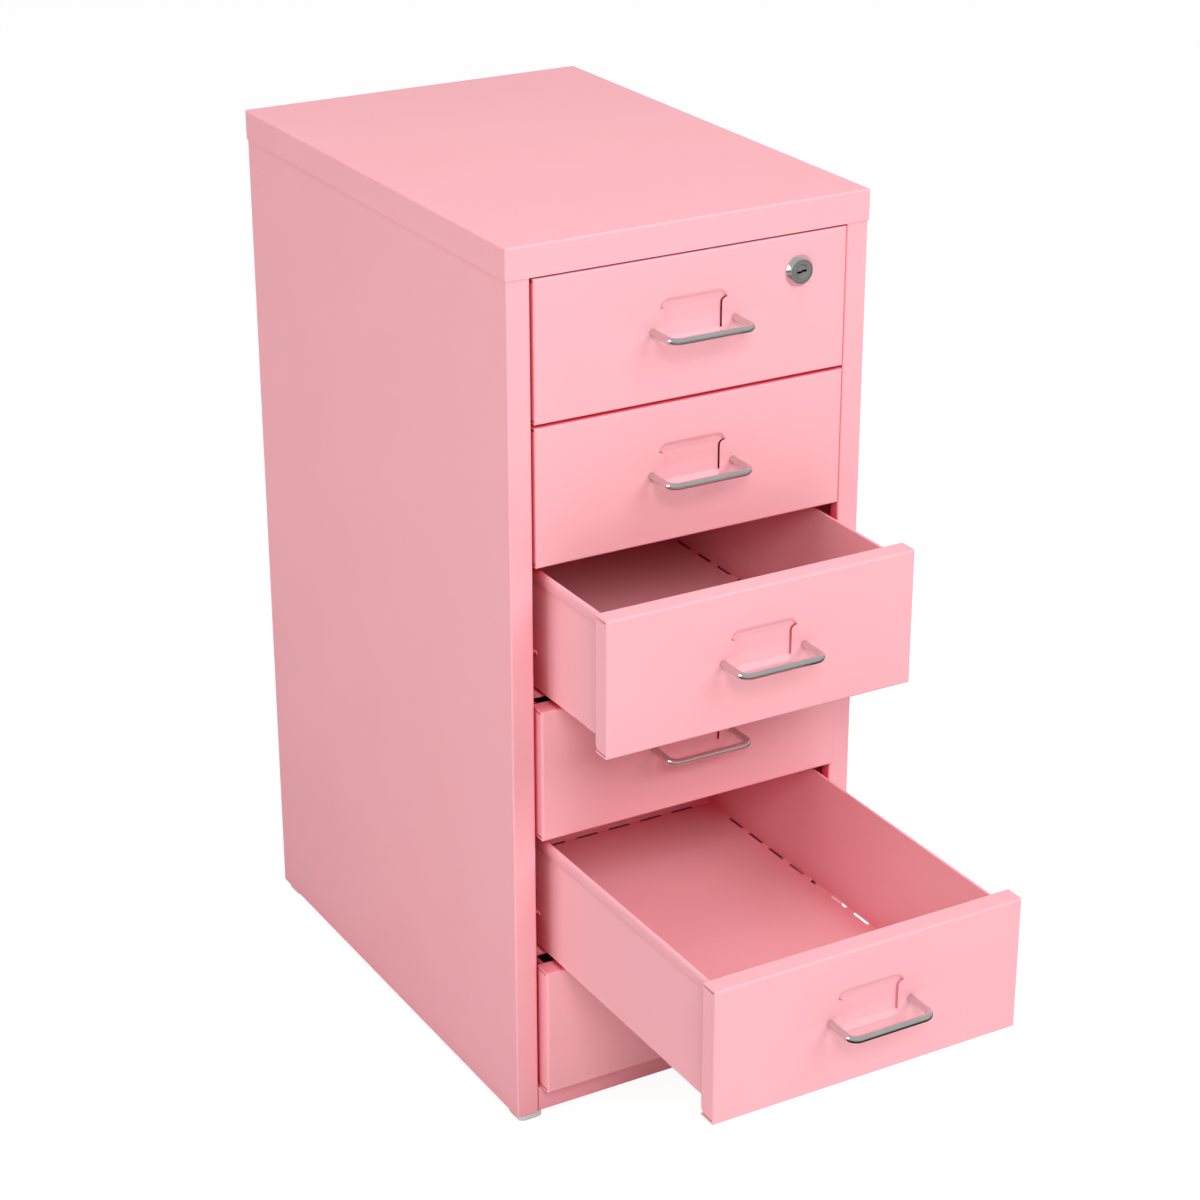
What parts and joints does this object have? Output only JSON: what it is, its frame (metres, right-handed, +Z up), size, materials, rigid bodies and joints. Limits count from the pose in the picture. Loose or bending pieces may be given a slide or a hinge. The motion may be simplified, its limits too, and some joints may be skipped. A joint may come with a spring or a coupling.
{
  "type": "small metal drawer cabinet",
  "caption": "Narrow upright sheet-metal cabinet with sliding folded drawers, bent-rod pull handles, pressed label holders and a cam lock on the top drawer.",
  "frame": {"origin": "on the floor, under the middle of the outline as stored, with two drawers drawn out", "axes": "+Z up, +Y from the drawer fronts to the back, +X to the right as seen from the front"},
  "size_m": [0.28, 0.6722, 0.658],
  "materials": {
    "carcass_paint": "light pink powder coat, satin",
    "drawer_paint": "light pink powder coat, satin",
    "chromed_rod": "bright chrome plating",
    "lock_chrome": "chrome plating with a satin face",
    "zinc_steel": "zinc plated",
    "glide_plastic": "milky white moulded plastic"
  },
  "bodies": {
    "cabinet": {"top_cap": "carcass_paint", "side_panel_left": "carcass_paint", "side_panel_right": "carcass_paint", "back_panel": "carcass_paint", "base_pan": "carcass_paint", "lock_strike": "carcass_paint", "carcass_screws": "zinc_steel", "foot_front_left": "glide_plastic", "foot_front_right": "glide_plastic", "foot_rear_left": "glide_plastic", "foot_rear_right": "glide_plastic", "runner_left_1": "carcass_paint", "runner_left_2": "carcass_paint", "runner_left_3": "carcass_paint", "runner_left_4": "carcass_paint", "runner_left_5": "carcass_paint", "runner_left_6": "carcass_paint", "runner_right_1": "carcass_paint", "runner_right_2": "carcass_paint", "runner_right_3": "carcass_paint", "runner_right_4": "carcass_paint", "runner_right_5": "carcass_paint", "runner_right_6": "carcass_paint"},
    "drawer_1": {"drawer_1_tray": "drawer_paint", "drawer_1_front": "drawer_paint", "drawer_1_handle": "chromed_rod", "drawer_1_handle_screws": "zinc_steel", "drawer_1_guides": "drawer_paint", "lock_housing": "lock_chrome", "lock_nut": "zinc_steel"},
    "drawer_2": {"drawer_2_tray": "drawer_paint", "drawer_2_front": "drawer_paint", "drawer_2_handle": "chromed_rod", "drawer_2_handle_screws": "zinc_steel", "drawer_2_guides": "drawer_paint"},
    "drawer_3": {"drawer_3_tray": "drawer_paint", "drawer_3_front": "drawer_paint", "drawer_3_handle": "chromed_rod", "drawer_3_handle_screws": "zinc_steel", "drawer_3_guides": "drawer_paint"},
    "drawer_4": {"drawer_4_tray": "drawer_paint", "drawer_4_front": "drawer_paint", "drawer_4_handle": "chromed_rod", "drawer_4_handle_screws": "zinc_steel", "drawer_4_guides": "drawer_paint"},
    "drawer_5": {"drawer_5_tray": "drawer_paint", "drawer_5_front": "drawer_paint", "drawer_5_handle": "chromed_rod", "drawer_5_handle_screws": "zinc_steel", "drawer_5_guides": "drawer_paint"},
    "drawer_6": {"drawer_6_tray": "drawer_paint", "drawer_6_front": "drawer_paint", "drawer_6_handle": "chromed_rod", "drawer_6_handle_screws": "zinc_steel", "drawer_6_guides": "drawer_paint"},
    "lock_core": {"lock_plug": "lock_chrome", "lock_cam": "zinc_steel", "lock_cam_screw": "zinc_steel"}
  },
  "joints": [
    {"name": "drawer_1_slide", "type": "slide", "parent": "cabinet", "child": "drawer_1", "axis": [0, -1, 0], "range_m": [0, 0.3]},
    {"name": "drawer_2_slide", "type": "slide", "parent": "cabinet", "child": "drawer_2", "axis": [0, -1, 0], "range_m": [0, 0.3]},
    {"name": "drawer_3_slide", "type": "slide", "parent": "cabinet", "child": "drawer_3", "axis": [0, -1, 0], "range_m": [-0.0935, 0.2065]},
    {"name": "drawer_4_slide", "type": "slide", "parent": "cabinet", "child": "drawer_4", "axis": [0, -1, 0], "range_m": [-0.0055, 0.2945]},
    {"name": "drawer_5_slide", "type": "slide", "parent": "cabinet", "child": "drawer_5", "axis": [0, -1, 0], "range_m": [-0.2305, 0.0695]},
    {"name": "drawer_6_slide", "type": "slide", "parent": "cabinet", "child": "drawer_6", "axis": [0, -1, 0], "range_m": [-0.0095, 0.2905]},
    {"name": "lock_turn", "type": "hinge", "parent": "drawer_1", "child": "lock_core", "pos_m": [0.0825, -0.07715, 0.60985], "axis": [0, 1, 0], "range_deg": [0, 90]}
  ]
}
